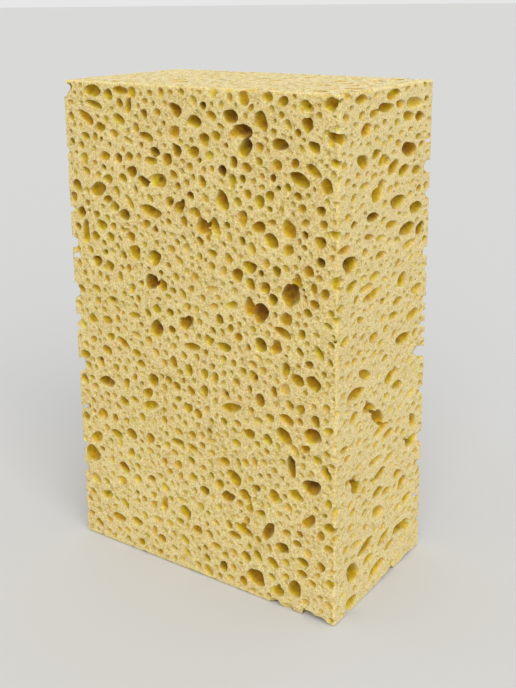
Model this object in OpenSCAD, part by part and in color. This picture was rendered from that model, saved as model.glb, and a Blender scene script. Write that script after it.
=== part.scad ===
/* [Block] */
// Width of the sponge across its front
block_width = 125; // [100:1:150]
// Depth of the sponge from front to back
block_depth = 70; // [56:1:90]
// Height of the sponge as it stands
block_height = 195; // [160:1:230]
// Width of the flat that use has worn along every edge
edge_wear = 0.8; // [0.4:0.1:1.5]

/* [Pores] */
// Side of the patch of hidden surface that holds one pore
pore_spacing = 16.5; // [15:0.5:22]
// Mouth size of the smallest pore on the hidden faces
mouth_min = 4.4; // [3.5:0.1:5.5]
// Mouth size of the largest pore on the hidden faces
mouth_max = 8; // [6:0.1:10]
// Length of a pore on the narrow sides against its height
side_stretch = 2; // [1:0.1:2.4]
// Depth of a pore's centre below the surface, in radii of its mouth
pore_sink = 0.32; // [0.1:0.02:0.5]
// Radius of the unbroken patch at the middle of the base
base_patch = 8; // [4:0.5:12]

/* [Edge bites] */
// How far a bite runs back for each millimetre that it runs across
bite_slant = 1.43; // [0.8:0.01:2]

/* [Hidden] */

straw = "#e3d296";

// Each face: its turn from lying flat and facing up, its span across, up and through,
// and the number of its first pore where a rule scatters them
FRONT = [[90, 0, 0], block_width, block_height, block_depth];
RIGHT = [[90, 0, 90], block_depth, block_height, block_width];
BACK = [[90, 0, 180], block_width, block_height, block_depth, 100];
LEFT = [[90, 0, 270], block_depth, block_height, block_width, 300];
TOP = [[0, 0, 0], block_width, block_depth, block_height, 400];
BASE = [[180, 0, 0], block_width, block_depth, block_height, 600];

// The pores that give the two open faces their look.
// First row: width and height of the face that they were noted on.
// Others: across from the left, down from the top, long and short mouth, lean in degrees
front_pores = [
  [125, 195],
  [11.5, 14, 8, 3.6, -35], [15.5, 3.6, 7.5, 4, 0], [16, 8.8, 8, 2.6, -12],
  [28.8, 13.8, 5.6, 3.4, -25], [30, 3, 6.5, 3, -5], [35.6, 3.7, 4.6, 4, 60],
  [56.5, 8.7, 5.4, 4, -35], [65, 12.5, 5.6, 3.8, 0], [81.3, 9.7, 5.6, 4.3, 0],
  [86.3, 14.5, 7.3, 4.6, 0], [87, 3.2, 4.6, 4, 90], [94, 10.6, 6.4, 4.6, -60],
  [112.3, 4.7, 5.2, 3.6, -10], [42.2, 19.6, 6.4, 3, -15], [51.8, 27.2, 4.6, 4, 90],
  [55.8, 16.8, 4.8, 4.2, 50], [87.2, 20.4, 7, 4.4, 55], [102, 18, 6, 3.4, 0],
  [110, 29.4, 7.2, 4, -20], [115.3, 26, 6, 3.2, -30], [16.4, 41.9, 7.6, 4.8, 15],
  [39.8, 36.6, 5.2, 3.6, -15], [47, 35.7, 7.7, 5, 0], [57, 44.7, 5.4, 3.6, 45],
  [76.9, 40, 7, 4.8, -70], [120.3, 30.8, 5, 4.4, -45], [29.4, 50.6, 5.2, 4, 0],
  [43, 47.8, 9.5, 4.2, -10], [67.4, 50.5, 5.6, 5.2, 90], [73, 49.4, 4.8, 4.2, 90],
  [85.7, 45.6, 5.6, 3.8, 75], [92.8, 48, 5.2, 3.8, 5], [98, 52.2, 6, 4.6, -20],
  [105.5, 47.2, 6, 5.2, -50], [8.6, 60, 9, 3.8, 85], [34.3, 65, 5.4, 4.8, -50],
  [44.2, 65.8, 5.6, 4.8, 25], [83.3, 66.8, 4.8, 4.2, 60], [88.5, 63, 5.6, 4, 10],
  [106.2, 70.8, 8, 6, 80], [42.2, 75.5, 6.2, 4.8, 60], [47.5, 76.2, 4.6, 4, 0],
  [88.3, 78, 6.5, 4.2, 85], [93.3, 79.4, 7, 5.4, 75], [102.7, 85, 6.6, 3.2, -18],
  [104, 79.8, 5, 4.4, 60], [25.8, 103.6, 6.8, 3.2, -30], [44, 94.6, 7, 5.4, 75],
  [57.8, 90, 4.8, 4.6, 0], [61.5, 98.3, 7, 2.8, 5], [76.3, 95.4, 6, 3.2, 0],
  [93.1, 91.5, 5.2, 4.6, -45], [108.8, 101.6, 5.2, 3.8, -10], [115.4, 101.5, 5.8, 4.6, -40],
  [41.2, 116.3, 5, 4.4, 30], [79.5, 119, 8, 3.6, 15], [103.7, 106.3, 4.6, 4, 30],
  [104.2, 118, 6, 3.6, -20], [16.3, 122.3, 7.6, 3.8, 8], [38.2, 122.5, 5, 3.8, 30],
  [39.2, 127.5, 8, 3.4, 20], [103.2, 124.6, 6.4, 5, -50], [115.3, 121.8, 6.6, 5.6, 0],
  [8.8, 149, 6, 4.2, 40], [13, 137.2, 4.8, 4, -10], [20.4, 144.6, 5.6, 3.4, -10],
  [28.6, 142.5, 4.8, 4, -15], [80.3, 147.5, 6.4, 4.6, -40], [106.3, 136, 8, 3.2, -85],
  [108.2, 146.9, 6, 4, -15], [115, 141.7, 7.2, 5.4, 20], [6, 157, 6.8, 6, 0],
  [23.6, 159, 5.2, 4, -35], [77, 156.4, 4.7, 4.2, 0], [98.6, 150, 5.4, 4.2, 85],
  [114, 155.6, 6.4, 3.4, 45], [7, 168.5, 5.4, 4.2, -35], [12.6, 174.6, 5, 3.6, 0],
  [22, 165.2, 4.8, 3.8, 0], [44.5, 169.6, 6, 3.4, 70], [55.6, 169.5, 5.4, 4.8, -20],
  [84.3, 168.2, 8, 3.4, -15], [96, 165.3, 8.2, 3.6, 60], [98, 178, 5, 3.6, -35],
  [101.8, 170.2, 5.6, 4, 15], [19.3, 183, 7, 3.4, 0], [29.3, 182, 5.4, 3.8, 5],
  [90, 186.9, 7.4, 6.6, -45], [99.8, 189, 5.8, 3.6, 20], [107.7, 185.4, 6, 5, 60]
];
right_pores = [
  [70, 195],
  [18.5, 13.6, 6.4, 3.8, 10], [32.5, 7.2, 9, 2.8, -6], [50, 12, 7.5, 3.2, -5],
  [54.5, 7.5, 11, 3.6, -3], [16.3, 24.3, 6.4, 3.8, -25], [38.8, 29.2, 6.8, 3.8, 18],
  [51, 24.2, 10, 4, -8], [27.2, 37.3, 7, 4.8, 10], [43, 42.5, 9.5, 4, 0],
  [47, 31.5, 7, 3.2, 5], [8, 58.7, 7.6, 4.8, -12], [24, 45, 7, 3, -8],
  [51, 54.3, 10, 4.2, 0], [58, 47.3, 8.5, 3.6, -5], [24.5, 73.6, 11, 3, 5],
  [48.2, 73.3, 5.8, 4.6, 20], [57.5, 89.6, 8, 3.4, 5], [60.5, 79.7, 7.6, 3, -3],
  [20.3, 102.6, 8.4, 3, -25], [50, 97.3, 10, 3.6, -5], [14, 107.9, 10.4, 3.6, -3],
  [24, 117, 7.8, 3.6, -20], [39.8, 110, 6.4, 4.2, 10], [31, 123, 9.6, 3.8, -35],
  [33.5, 129, 9.4, 3, 5], [15.3, 145.4, 6, 4.2, -20], [32.8, 147.6, 8.6, 3.2, 12],
  [60, 143.5, 8, 4, 0], [60.5, 135, 6.6, 3.6, -50], [32.5, 162.7, 8, 4, -15],
  [52.5, 158.9, 5.6, 4, 15], [13.5, 179.5, 9, 5.6, -40], [23, 173.3, 10, 3.6, 10],
  [38, 176.3, 8, 3.2, 15], [52.5, 178.7, 10.6, 4, -3], [57, 168, 6.6, 3.8, 0],
  [12, 191.5, 6.6, 4.4, 0], [32.5, 187, 10, 4, 6]
];

// Pores that open through a corner edge, so that they notch the outline.
// First row: height of the edge that they were noted on.
// Others: down from the top, how deep the notch is, how high it is
near_edge_bites = [
  [195],
  [3.4, 3.8, 5.6], [51.5, 2.8, 2.6], [65, 4, 5], [86.2, 3.4, 4.6],
  [97.6, 3, 4.2], [118.4, 5, 6.6], [154.2, 3, 3], [164.8, 3, 4]
];
far_edge_bites = [
  [195],
  [33.4, 6.8, 4.8], [43.9, 4, 3.6], [67, 5, 4.6], [86.6, 4, 3.8], [96.8, 5.6, 3],
  [108.4, 10, 5], [125, 3.8, 4.6], [145.6, 4.6, 5], [157.4, 4.4, 4]
];

// A pore longer than this many times its height is a row of bubbles
round_limit = 1.5;
// Distance between the bubbles in a row, in heights of the pore
bubble_step = 0.9;
// Distance between the bubbles along a bite's tunnel, and between its tunnels, in radii
tunnel_step = 1.45;
tunnel_gap = 1.3;
// Turn of a tunnel's bubbles about z, so that no seam of theirs lies along a face
seam_turn = 37;
// Facets of a bubble wherever it is drawn as a mesh
pore_facets = 13;

function fraction(x) = x - floor(x);

// A value from 0 to 1 that is always the same for one pore and one purpose
function chance(pore, purpose) =
  fraction(abs(sin(pore * 12.9898 + purpose * 78.233)) * 43758.5453);

function clear_of_base_patch(across, up, size) =
  norm([across, up]) > base_patch + size / 2;

// One pore in each cell of an even grid over a face, moved about inside its cell.
// Rows are as in the noted lists, but measured from the face's centre.
// On a face with stretch the pores lie nearly level, and on the others they lean any way
function scattered_pores(face, stretch) =
  let (
    columns = max(1, floor(face[1] / pore_spacing)),
    rows = max(1, floor(face[2] / pore_spacing)),
    wander = 0.75
  )
  [
    for (i = [0:columns - 1], j = [0:rows - 1])
      let (
        pore = face[4] + i * rows + j,
        across = (i + 0.5 + wander * (chance(pore, 1) - 0.5)) / columns - 0.5,
        up = (j + 0.5 + wander * (chance(pore, 2) - 0.5)) / rows - 0.5,
        mouth = mouth_min + (mouth_max - mouth_min) * pow(chance(pore, 3), 2.2),
        longer = sqrt(stretch * (1 + 0.5 * chance(pore, 4))),
        lean = stretch > 1 ? 30 * (chance(pore, 5) - 0.5) : 180 * chance(pore, 5)
      )
      [across * face[1], up * face[2], mouth * longer, mouth / longer, lean]
  ];

// The noted pores of a face, measured from its centre. They move with the face when its
// size changes, and the side that grew least sets how much larger they get
function noted_pores(face, rows) =
  let (
    noted = rows[0],
    growth = min(face[1] / noted[0], face[2] / noted[1])
  )
  [
    for (i = [1:len(rows) - 1])
      let (row = rows[i])
      [
        (row[0] / noted[0] - 0.5) * face[1],
        (0.5 - row[1] / noted[1]) * face[2],
        row[2] * growth, row[3] * growth, row[4]
      ]
  ];

// The noted bites of a corner edge, with their height above the base. They grow with the edge
function noted_bites(rows) =
  let (growth = block_height / rows[0][0])
  [
    for (i = [1:len(rows) - 1])
      let (row = rows[i])
      [block_height - row[0] * growth, row[1] * growth, row[2] * growth]
  ];

// Puts its children on a face, with z pointing out of the block
module on_face(face) {
  translate([0, 0, block_height / 2])
    rotate(face[0])
      translate([0, 0, face[3] / 2])
        children();
}

// The bubbles that open one pore: a single one if it is round, a row of them if it is long.
// Each is its place across, up and out of the face, and its radius
function bubbles_of(row) =
  let (
    long = row[2],
    short = row[3],
    sink = pore_sink * (0.4 + 1.2 * chance((row[0] + row[1]) / long, 6)),
    count = long / short < round_limit ? 1 : 1 + ceil((long - short) / (bubble_step * short)),
    mouth = (count == 1 ? sqrt(long * short) : short) / 2
  )
  [
    for (i = [0:count - 1])
      let (
        along = count == 1 ? 0 : (i / (count - 1) - 0.5) * (long - short),
        swell = count == 1 ? 1 : 0.94 + 0.14 * chance(long / short, i)
      )
      [
        row[0] + along * cos(row[4]), row[1] + along * sin(row[4]), -sink * mouth,
        swell * mouth * sqrt(1 + sink * sink)
      ]
  ];

module pores_on(face, rows) {
  on_face(face)
    for (row = rows, bubble = bubbles_of(row))
      translate([bubble[0], bubble[1], bubble[2]])
        sphere(r = bubble[3], $fn = pore_facets);
}

// A slanted tunnel of bubbles across a corner edge that stands along z at the origin.
// It runs from reach along x to reach times the slope along y
module edge_tunnel(reach, radius, slope) {
  run = reach * norm([1, slope]);
  steps = ceil(run / (tunnel_step * radius));
  for (i = [0:steps]) {
    t = steps == 0 ? 0 : i / steps;
    rise = 0.3 * radius * (chance(i, reach / radius) - 0.5);
    translate([reach * (1 - t), reach * slope * t, rise])
      rotate([90, 0, seam_turn])
        sphere(r = radius, $fn = pore_facets);
  }
}

module edge_bite(depth, height, slope) {
  radius = height / 2;
  deepest = max(0.45 * radius, depth - radius);
  for (reach = [deepest:-tunnel_gap * radius:0])
    edge_tunnel(reach, radius * (1 + 0.04 * reach / deepest), slope);
}

// The corner edge between the front and the left face
module near_edge_cuts() {
  for (bite = noted_bites(near_edge_bites))
    translate([-block_width / 2, -block_depth / 2, bite[0]])
      edge_bite(bite[1], bite[2], bite_slant);
}

// The corner edge between the right and the back face
module far_edge_cuts() {
  for (bite = noted_bites(far_edge_bites))
    translate([block_width / 2, block_depth / 2, bite[0]])
      rotate([0, 0, 180])
        mirror([1, -1, 0])
          edge_bite(bite[1], bite[2], 1 / bite_slant);
}

// The outline of a bar whose four corners are cut flat
module worn_outline(across, up) {
  x = across / 2;
  y = up / 2;
  polygon([
    [x - edge_wear, y], [x, y - edge_wear], [x, edge_wear - y], [x - edge_wear, -y],
    [edge_wear - x, -y], [-x, edge_wear - y], [-x, y - edge_wear], [edge_wear - x, y]
  ]);
}

module worn_bar(face) {
  translate([0, 0, block_height / 2])
    rotate(face[0])
      linear_extrude(height = face[3], center = true)
        worn_outline(face[1], face[2]);
}

// The sawn block before any pore is opened, with all twelve edges worn
module worn_block() {
  intersection() {
    worn_bar(FRONT);
    worn_bar(RIGHT);
    worn_bar(TOP);
  }
}

module sponge_block() {
  base_rows = [
    for (row = scattered_pores(BASE, 1))
      if (clear_of_base_patch(row[0], row[1], row[2])) row
  ];
  color(straw)
    difference() {
      worn_block();
      pores_on(FRONT, noted_pores(FRONT, front_pores));
      pores_on(RIGHT, noted_pores(RIGHT, right_pores));
      pores_on(BACK, scattered_pores(BACK, 1));
      pores_on(LEFT, scattered_pores(LEFT, side_stretch));
      pores_on(TOP, scattered_pores(TOP, 1));
      pores_on(BASE, base_rows);
      near_edge_cuts();
      far_edge_cuts();
    }
}

sponge_block();
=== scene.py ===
"""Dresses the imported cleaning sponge: one block of coarse, open-pored cellulose foam.

The block is a bevelled cuboid of the part's own size. Closed bowl shapes, one for each pore, are
cut out of it: the pores that the part's source has, and between them the finer ones that it
leaves out. Slanted tubes bite through two of the corner edges. Everything is in metres, in the
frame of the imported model, and lengths in millimetres have names that end in _mm.
"""

import logging
import math
import random
from dataclasses import dataclass, field
from enum import Enum

import bmesh
import bpy
import numpy as np
from mathutils import Euler, Matrix, Vector


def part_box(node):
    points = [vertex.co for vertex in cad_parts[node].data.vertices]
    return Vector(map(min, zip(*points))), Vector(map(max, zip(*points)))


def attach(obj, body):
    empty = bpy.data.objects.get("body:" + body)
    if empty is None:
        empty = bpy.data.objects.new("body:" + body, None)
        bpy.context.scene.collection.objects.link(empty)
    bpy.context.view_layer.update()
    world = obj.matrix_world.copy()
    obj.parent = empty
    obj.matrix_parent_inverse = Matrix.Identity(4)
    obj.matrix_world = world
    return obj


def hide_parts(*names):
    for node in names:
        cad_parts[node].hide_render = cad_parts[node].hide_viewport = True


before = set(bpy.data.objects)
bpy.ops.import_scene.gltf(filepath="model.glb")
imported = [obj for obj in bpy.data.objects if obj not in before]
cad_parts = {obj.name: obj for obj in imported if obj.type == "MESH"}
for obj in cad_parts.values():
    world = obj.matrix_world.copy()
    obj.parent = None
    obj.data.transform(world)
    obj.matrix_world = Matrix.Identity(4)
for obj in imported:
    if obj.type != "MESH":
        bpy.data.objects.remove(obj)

LOG = logging.getLogger("cleaning_sponge")
MM = 0.001

# Pores of the front face that show one by one, on a face of 125 by 195 mm.
# Each row: across from the left, down from the top, long and short mouth, lean in degrees,
# and for a few how deep it is against the usual
FRONT_PORES = (
    (15.5, 3.6, 7.5, 4, 0), (23.5, 5, 4.4, 4, 0), (30, 3, 6.5, 3, -5),
    (35.6, 3.7, 4.6, 4, 60), (16, 8.8, 8, 2.6, -12), (33.5, 8.6, 5.5, 3, 80),
    (56.5, 8.7, 5.4, 4, -35), (28.8, 13.8, 5.6, 3.4, -25), (11.5, 14, 8, 3.6, -35),
    (18.4, 17.6, 4.2, 3.6, 0), (55.8, 16.8, 4.8, 4.2, 50), (42.2, 19.6, 6.4, 3, -15),
    (10.8, 21.6, 4.2, 3, -20), (32.8, 21.6, 5, 2.2, -25), (56.4, 23.4, 4.4, 3.8, -45),
    (46, 24.9, 4.2, 3.4, 0, 1.7), (51.8, 27.2, 4.6, 4, 90), (20.5, 28.5, 5.2, 3.4, 15),
    (44, 28.5, 5.4, 2.8, 0), (34.3, 33.3, 4.7, 3.6, 5), (39.8, 36.6, 5.2, 3.6, -15),
    (47, 35.7, 7.7, 5, 0), (16.4, 41.9, 7.6, 4.8, 15), (21.3, 45.5, 4.2, 2.8, 20),
    (32.4, 45.3, 6, 2.8, -55), (57, 44.7, 5.4, 3.6, 45), (52.5, 43.2, 4.4, 3.6, 45),
    (43, 47.8, 9.5, 4.2, -10, 1.4), (24.7, 48, 4, 3.6, 0), (29.4, 50.6, 5.2, 4, 0),
    (8.6, 60, 9, 3.8, 85), (34.3, 65, 5.4, 4.8, -50, 0.6), (44.2, 65.8, 5.6, 4.8, 25),
    (65, 12.5, 5.6, 3.8, 0), (81.3, 9.7, 5.6, 4.3, 0), (94, 10.6, 6.4, 4.6, -60),
    (86.3, 14.5, 7.3, 4.6, 0), (102, 18, 6, 3.4, 0), (69.2, 18.3, 4.4, 4, 0),
    (74.4, 17, 4.2, 3.4, -25), (87.2, 20.4, 7, 4.4, 55, 2.1), (112.3, 4.7, 5.2, 3.6, -10),
    (87, 3.2, 4.6, 4, 90), (97, 2.2, 4, 3.4, 0), (73.5, 1.6, 4, 3, 90),
    (115.3, 26, 6, 3.2, -30), (110, 29.4, 7.2, 4, -20), (120.3, 30.8, 5, 4.4, -45),
    (76.9, 40, 7, 4.8, -70), (93, 38.8, 4.4, 4, 90), (64.9, 45.8, 4.2, 3.4, -30),
    (85.7, 45.6, 5.6, 3.8, 75, 0.7), (105.5, 47.2, 6, 5.2, -50), (92.8, 48, 5.2, 3.8, 5),
    (67.4, 50.5, 5.6, 5.2, 90), (73, 49.4, 4.8, 4.2, 90), (98, 52.2, 6, 4.6, -20, 1.6),
    (118, 50.2, 4.2, 4, 0), (88.5, 63, 5.6, 4, 10), (14, 71.4, 4.4, 4, 0),
    (20.7, 72.5, 4.2, 3.6, -30), (42.2, 75.5, 6.2, 4.8, 60), (47.5, 76.2, 4.6, 4, 0),
    (12.6, 83, 4.4, 3, -15), (21.3, 86.4, 4.8, 2.8, 0, 0.6), (32.4, 91, 6, 2.6, 8, 1.8),
    (57.8, 90, 4.8, 4.6, 0), (44, 94.6, 7, 5.4, 75), (9.9, 96.3, 4.6, 3.8, 0),
    (17.6, 95.4, 5, 3, 5), (61.5, 98.3, 7, 2.8, 5), (33.3, 98.8, 5, 2.4, -8),
    (25.8, 103.6, 6.8, 3.2, -30), (51.9, 106.6, 4.4, 3.5, 90), (59.3, 108.2, 4.2, 3.6, 80),
    (32.8, 106.6, 4.2, 2.8, 0), (17.1, 108.5, 4.6, 3.5, -10), (35.3, 110.7, 4.2, 2.8, 0),
    (13, 114.3, 4.4, 3.6, -45, 0.6), (41.2, 116.3, 5, 4.4, 30), (16.3, 122.3, 7.6, 3.8, 8),
    (38.2, 122.5, 5, 3.8, 30), (39.2, 127.5, 8, 3.4, 20), (26.8, 120.9, 4.6, 2.8, 70),
    (83.3, 66.8, 4.8, 4.2, 60), (88.8, 69.2, 4.4, 3.4, -70), (71.5, 73.6, 5.8, 2.2, 10),
    (106.2, 70.8, 8, 6, 80), (88.3, 78, 6.5, 4.2, 85), (93.3, 79.4, 7, 5.4, 75),
    (80.4, 78.8, 5.6, 3, 20), (104, 79.8, 5, 4.4, 60), (102.7, 85, 6.6, 3.2, -18),
    (93.1, 91.5, 5.2, 4.6, -45, 1.4), (69.2, 94.3, 4, 3.4, -60), (76.3, 95.4, 6, 3.2, 0),
    (103.9, 98.9, 5.6, 3.2, 80), (108.8, 101.6, 5.2, 3.8, -10), (115.4, 101.5, 5.8, 4.6, -40),
    (66.9, 108.2, 4.6, 3.5, 80), (103.7, 106.3, 4.6, 4, 30, 0.6), (66.6, 115.1, 4.8, 3.6, 85, 1.6),
    (76.8, 114.2, 4.6, 3.2, -60), (79.5, 119, 8, 3.6, 15), (104.2, 118, 6, 3.6, -20),
    (115.3, 121.8, 6.6, 5.6, 0, 1.5), (103.2, 124.6, 6.4, 5, -50), (107.4, 128.8, 5.4, 3, -45, 0.6),
    (13, 137.2, 4.8, 4, -10), (53, 140, 5.6, 3.2, 0), (60, 140.6, 5, 3.4, -5),
    (28.6, 142.5, 4.8, 4, -15), (20.4, 144.6, 5.6, 3.4, -10), (21.6, 148, 4.4, 2.6, 85),
    (8.8, 149, 6, 4.2, 40, 0.6), (6, 157, 6.8, 6, 0, 0.6), (60, 153, 4, 3.6, 45),
    (23.6, 159, 5.2, 4, -35), (45.7, 161.8, 4.2, 3.4, -15), (22, 165.2, 4.8, 3.8, 0, 0.6),
    (54, 164.6, 5.6, 2.2, 0, 0.6), (44.5, 169.6, 6, 3.4, 70), (7, 168.5, 5.4, 4.2, -35, 0.5),
    (55.6, 169.5, 5.4, 4.8, -20), (12.6, 174.6, 5, 3.6, 0), (23, 175.6, 4.4, 3.6, -45),
    (61.6, 175.6, 4.6, 3.6, 0), (41, 177.2, 5.2, 2.4, 0, 0.6), (29.3, 182, 5.4, 3.8, 5),
    (19.3, 183, 7, 3.4, 0), (38.7, 183.3, 5, 2.6, 75), (56, 187.5, 4.4, 3, -60),
    (69.8, 134.9, 4.6, 2, 15), (106.3, 136, 8, 3.2, -85, 1.9), (115, 141.7, 7.2, 5.4, 20),
    (75.8, 142.1, 4.6, 3.6, 15), (80.3, 147.5, 6.4, 4.6, -40), (98.6, 150, 5.4, 4.2, 85),
    (108.2, 146.9, 6, 4, -15), (114, 155.6, 6.4, 3.4, 45), (65.7, 157.2, 4, 3.8, 0),
    (77, 156.4, 4.7, 4.2, 0), (122.6, 155.6, 4.6, 3.2, 0), (92.4, 159, 4.2, 3, 20),
    (96, 165.3, 8.2, 3.6, 60, 1.5), (84.3, 168.2, 8, 3.4, -15), (101.8, 170.2, 5.6, 4, 15),
    (80, 172, 5.2, 3, 0), (111.3, 173.2, 4.6, 3.4, -20), (90.8, 177.4, 4.6, 3.6, -60),
    (98, 178, 5, 3.6, -35), (111, 178, 4.2, 3, 0), (71, 179.7, 5, 3, 5),
    (90, 186.9, 7.4, 6.6, -45, 1.3), (107.7, 185.4, 6, 5, 60), (99.8, 189, 5.8, 3.6, 20),
    (60.5, 195, 7, 1.6, 0), (82.2, 195, 2.6, 1.3, 0), (118.6, 195.2, 6.4, 4, 0),
)

# The same for the right face, 70 by 195 mm
RIGHT_PORES = (
    (14.5, 3, 7, 2.6, 0), (37.5, 3.2, 8, 3, 5), (32.5, 7.2, 9, 2.8, -6), (24, 8.5, 6, 2.6, 5),
    (43.5, 7.1, 6, 2.8, -5), (54.5, 7.5, 11, 3.6, -3), (50, 12, 7.5, 3.2, -5),
    (18.5, 13.6, 6.4, 3.8, 10), (59, 13, 6.4, 3, -5), (2.2, 15, 5, 3.2, -15),
    (16.3, 24.3, 6.4, 3.8, -25), (25.8, 22.8, 5.2, 2.8, 5), (31, 25.8, 6, 3.4, 12),
    (51, 24.2, 10, 4, -8), (38.8, 29.2, 6.8, 3.8, 18), (47, 31.5, 7, 3.2, 5, 1.5),
    (57.5, 32.8, 6, 2.8, 0), (18, 32.8, 6, 2.2, 0), (27.2, 37.3, 7, 4.8, 10, 1.6),
    (24, 45, 7, 3, -8, 1.8), (43, 42.5, 9.5, 4, 0), (58, 47.3, 8.5, 3.6, -5),
    (38.3, 50.3, 7.4, 2.6, -5), (21.5, 51.6, 5.6, 2, -10), (4.5, 52.7, 6.6, 2.6, 0),
    (30.2, 53.6, 5.6, 2.2, 0), (51, 54.3, 10, 4.2, 0), (62, 56.2, 6, 4, 10),
    (8, 58.7, 7.6, 4.8, -12), (30.5, 60.2, 6.8, 2.6, 0), (53, 60.5, 9, 2.8, 5),
    (9.5, 66.8, 6, 3.2, 10), (26, 67, 6.4, 2.8, 0), (20, 69.8, 8, 2.4, 0, 0.6),
    (24.5, 73.6, 11, 3, 5), (48.2, 73.3, 5.8, 4.6, 20), (60.5, 79.7, 7.6, 3, -3, 0.6),
    (44.5, 81, 6, 2.6, 0), (5.7, 85.6, 5, 3.2, 0), (41.5, 86, 6.6, 2.6, -3),
    (26.5, 90, 5.6, 3, 0), (57.5, 89.6, 8, 3.4, 5, 0.6), (50, 97.3, 10, 3.6, -5),
    (20.3, 102.6, 8.4, 3, -25), (14, 107.9, 10.4, 3.6, -3), (39.8, 110, 6.4, 4.2, 10),
    (46, 115.1, 7, 3, -10), (12.5, 116.6, 4.8, 3.2, 15), (24, 117, 7.8, 3.6, -20),
    (31, 123, 9.6, 3.8, -35), (58, 122.3, 6.2, 3, 5, 0.6), (33.5, 129, 9.4, 3, 5),
    (39.5, 132.8, 7, 2.8, 0), (60.5, 135, 6.6, 3.6, -50), (29.5, 140.2, 8, 2.4, 0),
    (41, 143.1, 7.6, 2.2, 8), (60, 143.5, 8, 4, 0), (15.3, 145.4, 6, 4.2, -20),
    (32.8, 147.6, 8.6, 3.2, 12), (48.3, 153.5, 5.4, 3.2, -15), (32, 154.5, 6.6, 3.2, 0),
    (39.5, 157, 6.6, 2.6, -5), (52.5, 158.9, 5.6, 4, 15), (32.5, 162.7, 8, 4, -15),
    (57, 168, 6.6, 3.8, 0), (16, 168.7, 7.4, 2.4, -12, 0.6), (49.3, 168.6, 5.6, 2.6, 0),
    (23, 173.3, 10, 3.6, 10), (38, 176.3, 8, 3.2, 15), (13.5, 179.5, 9, 5.6, -40, 1.3),
    (25.5, 179.7, 7, 3, 0), (52.5, 178.7, 10.6, 4, -3), (42.5, 182, 6, 3, 5),
    (32.5, 187, 10, 4, 6), (12, 191.5, 6.6, 4.4, 0), (30.5, 195, 7, 1.4, 0),
    (39.5, 195, 7, 2.4, 0), (58.5, 195, 7, 2, 0),
)

# Bites through the corner edge between the front and the left face.
# Each row: down from the top, how deep the notch looks, how high it is
NEAR_EDGE_BITES = (
    (3.4, 3.8, 5.6), (28, 1.8, 3), (33, 1.3, 2.6), (51.5, 2.8, 2.4), (65, 4, 5),
    (85.6, 3.4, 7), (97.5, 3.2, 4), (102, 2.6, 2), (118.4, 5, 6.6), (154.2, 3, 3),
    (158, 1.5, 2), (164.8, 3, 4), (172, 1.5, 3.4), (178, 1.2, 3), (185.5, 1.6, 3),
)

# The same through the corner edge between the right and the back face
FAR_EDGE_BITES = (
    (33.4, 6.8, 4.8), (43.9, 4, 3.6), (50, 2, 2), (67, 5, 4.6), (74, 2.5, 3),
    (86.6, 4, 3.8), (92, 4.4, 2.4), (96.8, 5.6, 2.6), (101.5, 3.6, 2.4),
    (108.4, 10.5, 5), (125, 3.8, 4.6), (145.6, 4.6, 5), (157.4, 4.4, 4),
    (160.5, 2.5, 2), (169, 2.4, 3), (183, 2.8, 3.6),
)

# Small holes just behind a corner edge, through which one sees past the block.
# Each row: down from the top, middle behind the edge, width, height, lean in degrees
NEAR_EDGE_HOLES = ((70.8, 3, 4.5, 2, 0), (137, 3, 4.5, 1.6, 30))
FAR_EDGE_HOLES = ((23.2, 3.5, 4, 1.4, 0), (172.3, 5.5, 6, 1.3, -30))


class Side(Enum):
    """The faces of the block, each with its turn from lying flat and facing up, in degrees."""

    FRONT = (90, 0, 0)
    RIGHT = (90, 0, 90)
    BACK = (90, 0, 180)
    LEFT = (90, 0, 270)
    TOP = (0, 0, 0)
    BASE = (180, 0, 0)


@dataclass(frozen=True)
class Face:
    """One face of the block: its place, its spans in millimetres and how its pores lie."""

    side: Side
    across: float
    up: float
    through: float
    stretch: float
    first_pore: int

    def matrix(self, height_mm: float) -> np.ndarray:
        """Gives the matrix from the face's own millimetres to the block's.

        Args:
            height_mm: The block's height.

        Returns:
            A four by four matrix; z in the face points out of the block.
        """
        turn = Euler([math.radians(a) for a in self.side.value], "XYZ").to_matrix().to_4x4()
        out = Matrix.Translation((0, 0, self.through / 2))
        return np.array(Matrix.Translation((0, 0, height_mm / 2)) @ turn @ out)


@dataclass
class Pore:
    """One pore's mouth, in the millimetres of its face, measured from the face's centre."""

    across: float
    up: float
    long: float
    short: float
    lean: float
    sink: float = 0.2
    depth_scale: float = 0.0
    floor: float = 0.0
    plain: bool = False

    @property
    def size(self) -> float:
        """Diameter of the round mouth that has the same area."""
        return math.sqrt(self.long * self.short)

    def ends(self) -> tuple[float, float, float, float, float]:
        """Gives the two ends of the pore's middle line and its radius.

        Returns:
            The first end, the second end and the radius, all in millimetres.
        """
        half = (self.long - self.short) / 2
        dx = half * math.cos(math.radians(self.lean))
        dy = half * math.sin(math.radians(self.lean))
        return (
            self.across - dx, self.up - dy, self.across + dx, self.up + dy, self.short / 2
        )


def chance(pore: int, purpose: int) -> float:
    """Gives the value from 0 to 1 that the part's source uses for one pore and one purpose.

    Args:
        pore: The pore's number.
        purpose: The number of the purpose.

    Returns:
        The fraction that both numbers lead to.
    """
    value = abs(math.sin(math.radians(pore * 12.9898 + purpose * 78.233))) * 43758.5453
    return value - math.floor(value)


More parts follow.
